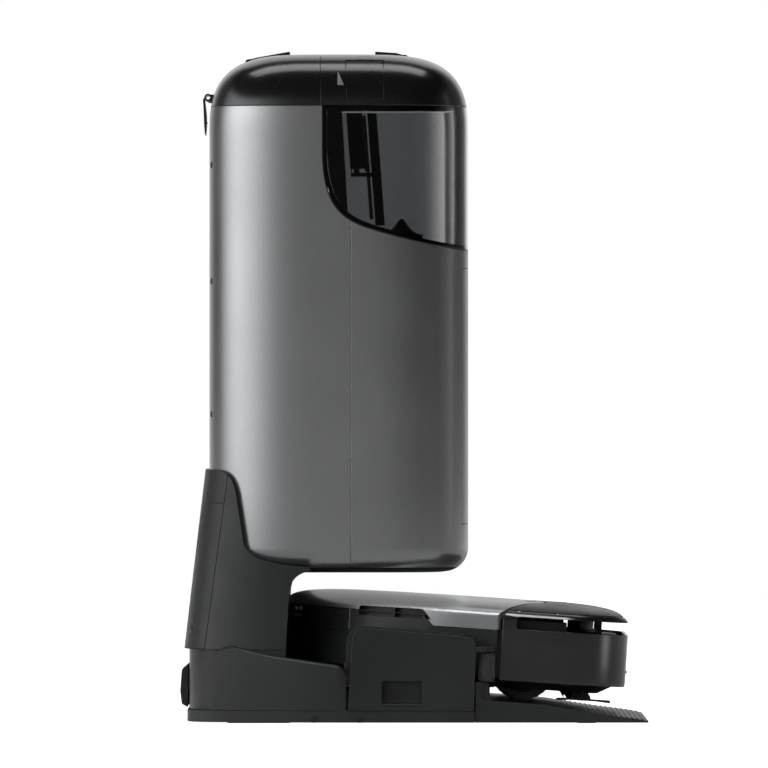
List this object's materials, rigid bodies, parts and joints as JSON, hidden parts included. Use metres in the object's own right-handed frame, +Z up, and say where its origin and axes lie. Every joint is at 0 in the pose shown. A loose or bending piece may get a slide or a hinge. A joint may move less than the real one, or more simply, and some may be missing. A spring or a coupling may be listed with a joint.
{
  "type": "robot vacuum with dock",
  "caption": "Robot vacuum and mop parked on a tall self-emptying, self-washing dock with lift-off water tanks, hinged lids, a bag door and an entry ramp.",
  "frame": {"origin": "middle of the footprint, on the floor under the dock's foot pads", "axes": "+X the way the robot drives out down the ramp, +Y to the robot's left, +Z up"},
  "size_m": [0.464, 0.392, 0.6646],
  "materials": {
    "graphite": "graphite metallic paint, satin",
    "satin_black": "satin, fine grain",
    "gloss_black": "piano black",
    "matte_black": "matte, moulded",
    "smoked_clear": "clear smoked plastic",
    "rubber": "matte",
    "mop_fabric": "short pile",
    "bag_paper": "non-woven",
    "contact_metal": "plated",
    "steel": "machined",
    "board": "solder mask"
  },
  "bodies": {
    "dock": {"base_tray": "satin_black", "wash_tray": "matte_black", "entry_ramp": "satin_black", "right_side_wing": "satin_black", "left_side_wing": "satin_black", "right_base_fairing": "satin_black", "left_base_fairing": "satin_black", "stand_column": "satin_black", "column_rear_cover": "satin_black", "power_inlet_cover": "satin_black", "rear_foot_pad": "rubber", "front_foot_pad": "rubber", "charge_contacts": "contact_metal", "tower_rear_shell": "graphite", "tower_front_shell": "graphite", "tower_bottom_cover": "matte_black", "tower_deck": "matte_black", "dust_duct": "matte_black", "dust_bag": "bag_paper", "motor_housing": "matte_black", "clean_pump": "matte_black", "dirty_pump": "matte_black", "control_board": "board"},
    "impeller": {"motor_impeller": "steel"},
    "bag_door": {"bag_door": "graphite"},
    "roller_right": {"guide_roller_right": "rubber"},
    "roller_left": {"guide_roller_left": "rubber"},
    "clean_tank": {"clean_tank": "smoked_clear", "tank_rear_channel": "gloss_black", "tank_intake": "matte_black", "tank_valve": "matte_black"},
    "clean_lid": {"clean_tank_lid": "gloss_black"},
    "lid_latch": {"lid_latch": "gloss_black"},
    "clean_handle": {"clean_tank_handle": "gloss_black"},
    "dirty_tank": {"dirty_tank": "smoked_clear"},
    "dirty_float": {"dirty_float": "bag_paper"},
    "dirty_lid": {"dirty_tank_lid": "gloss_black"},
    "dirty_handle": {"dirty_tank_handle": "gloss_black"},
    "rear_latch": {"rear_latch": "gloss_black"},
    "robot": {"robot_top_shell": "graphite", "robot_nose_cap": "satin_black", "robot_chassis": "matte_black", "robot_dust_bin": "matte_black", "robot_battery": "satin_black", "robot_fan": "matte_black"},
    "bumper": {"robot_bumper": "satin_black"},
    "power_button": {"robot_button": "gloss_black"},
    "turret": {"lidar_turret": "gloss_black"},
    "arm_right": {"wheel_arm_right": "satin_black"},
    "arm_left": {"wheel_arm_left": "satin_black"},
    "wheel_right": {"drive_hub_right": "matte_black", "drive_tyre_right": "rubber"},
    "wheel_left": {"drive_hub_left": "matte_black", "drive_tyre_left": "rubber"},
    "caster_swivel": {"caster_fork": "satin_black"},
    "caster_roll": {"caster_wheel": "rubber"},
    "main_brush": {"main_brush": "rubber"},
    "side_brush": {"side_brush": "rubber"},
    "mop": {"mop_plate": "satin_black", "mop_pad": "mop_fabric"}
  },
  "joints": [
    {"name": "impeller_spin", "type": "hinge", "parent": "dock", "child": "impeller", "pos_m": [-0.12, -0.07, 0.23], "axis": [0, 0, 1], "continuous": true},
    {"name": "bag_door_hinge", "type": "hinge", "parent": "dock", "child": "bag_door", "pos_m": [0.055, 0, 0.4502], "axis": [0, -1, 0], "range_deg": [0, 80]},
    {"name": "roller_right_spin", "type": "hinge", "parent": "dock", "child": "roller_right", "pos_m": [0.072, -0.183, 0.056], "axis": [0, 0, 1], "continuous": true},
    {"name": "roller_left_spin", "type": "hinge", "parent": "dock", "child": "roller_left", "pos_m": [0.072, 0.183, 0.056], "axis": [0, 0, 1], "continuous": true},
    {"name": "clean_tank_lift", "type": "slide", "parent": "dock", "child": "clean_tank", "axis": [0, 0, 1], "range_m": [0, 0.2]},
    {"name": "clean_lid_hinge", "type": "hinge", "parent": "clean_tank", "child": "clean_lid", "pos_m": [-0.019, 0.1714, 0.6109], "axis": [-1, 0, 0], "range_deg": [0, 85]},
    {"name": "lid_latch_hinge", "type": "hinge", "parent": "clean_lid", "child": "lid_latch", "pos_m": [-0.048, -0.131, 0.652], "axis": [-1, 0, 0], "range_deg": [0, 6], "stiffness_Nm_per_rad": 0.3, "springref_deg": -5.73},
    {"name": "clean_handle_hinge", "type": "hinge", "parent": "clean_lid", "child": "clean_handle", "pos_m": [-0.008, 0, 0.66], "axis": [0, 1, 0], "range_deg": [0, 85]},
    {"name": "dirty_tank_lift", "type": "slide", "parent": "dock", "child": "dirty_tank", "axis": [0, 0, 1], "range_m": [0, 0.2]},
    {"name": "dirty_float_rise", "type": "slide", "parent": "dirty_tank", "child": "dirty_float", "axis": [0, 0, 1], "range_m": [0, 0.018]},
    {"name": "dirty_lid_hinge", "type": "hinge", "parent": "dirty_tank", "child": "dirty_lid", "pos_m": [-0.0921, 0, 0.6631], "axis": [0, 1, 0], "range_deg": [0, 85]},
    {"name": "dirty_handle_hinge", "type": "hinge", "parent": "dirty_lid", "child": "dirty_handle", "pos_m": [-0.164, 0, 0.6556], "axis": [0, -1, 0], "range_deg": [0, 85]},
    {"name": "rear_latch_hinge", "type": "hinge", "parent": "dirty_lid", "child": "rear_latch", "pos_m": [-0.2046, 0, 0.6214], "axis": [0, 1, 0], "range_deg": [0, 100]},
    {"name": "robot_drive_out", "type": "slide", "parent": "dock", "child": "robot", "axis": [0.9978, 0, -0.0663], "range_m": [0, 0.24]},
    {"name": "bumper_press", "type": "slide", "parent": "robot", "child": "bumper", "axis": [-0.9978, 0, 0.0663], "range_m": [0, 0.004], "stiffness_N_per_m": 300, "springref_m": -0.004},
    {"name": "button_press", "type": "slide", "parent": "robot", "child": "power_button", "axis": [-0.0663, 0, -0.9978], "range_m": [0, 0.001], "stiffness_N_per_m": 400, "springref_m": -0.002},
    {"name": "turret_spin", "type": "hinge", "parent": "robot", "child": "turret", "pos_m": [0.1687, 0, 0.09362], "axis": [0.0663, 0, 0.9978], "continuous": true},
    {"name": "arm_right_hinge", "type": "hinge", "parent": "robot", "child": "arm_right", "pos_m": [0.04065, -0.111, 0.06704], "axis": [0, -1, 0], "range_deg": [0, 6], "stiffness_Nm_per_rad": 2, "springref_deg": -5.73},
    {"name": "arm_left_hinge", "type": "hinge", "parent": "robot", "child": "arm_left", "pos_m": [0.04065, 0.111, 0.06704], "axis": [0, -1, 0], "range_deg": [0, 6], "stiffness_Nm_per_rad": 2, "springref_deg": -5.73},
    {"name": "wheel_right_spin", "type": "hinge", "parent": "arm_right", "child": "wheel_right", "pos_m": [0.10804, -0.129, 0.05555], "axis": [0, 1, 0], "continuous": true},
    {"name": "wheel_left_spin", "type": "hinge", "parent": "arm_left", "child": "wheel_left", "pos_m": [0.10804, 0.129, 0.05555], "axis": [0, 1, 0], "continuous": true},
    {"name": "caster_swivel", "type": "hinge", "parent": "robot", "child": "caster_swivel", "pos_m": [0.16262, 0, 0.04742], "axis": [0.0663, 0, 0.9978], "continuous": true},
    {"name": "caster_roll", "type": "hinge", "parent": "caster_swivel", "child": "caster_roll", "pos_m": [0.1635, 0, 0.03042], "axis": [0, 1, 0], "continuous": true},
    {"name": "main_brush_spin", "type": "hinge", "parent": "robot", "child": "main_brush", "pos_m": [0.03714, 0, 0.04423], "axis": [0, 1, 0], "continuous": true},
    {"name": "side_brush_spin", "type": "hinge", "parent": "robot", "child": "side_brush", "pos_m": [0.16639, -0.112, 0.02863], "axis": [0.0663, 0, 0.9978], "continuous": true},
    {"name": "mop_lift", "type": "slide", "parent": "robot", "child": "mop", "axis": [0.0663, 0, 0.9978], "range_m": [0, 0.01]}
  ]
}
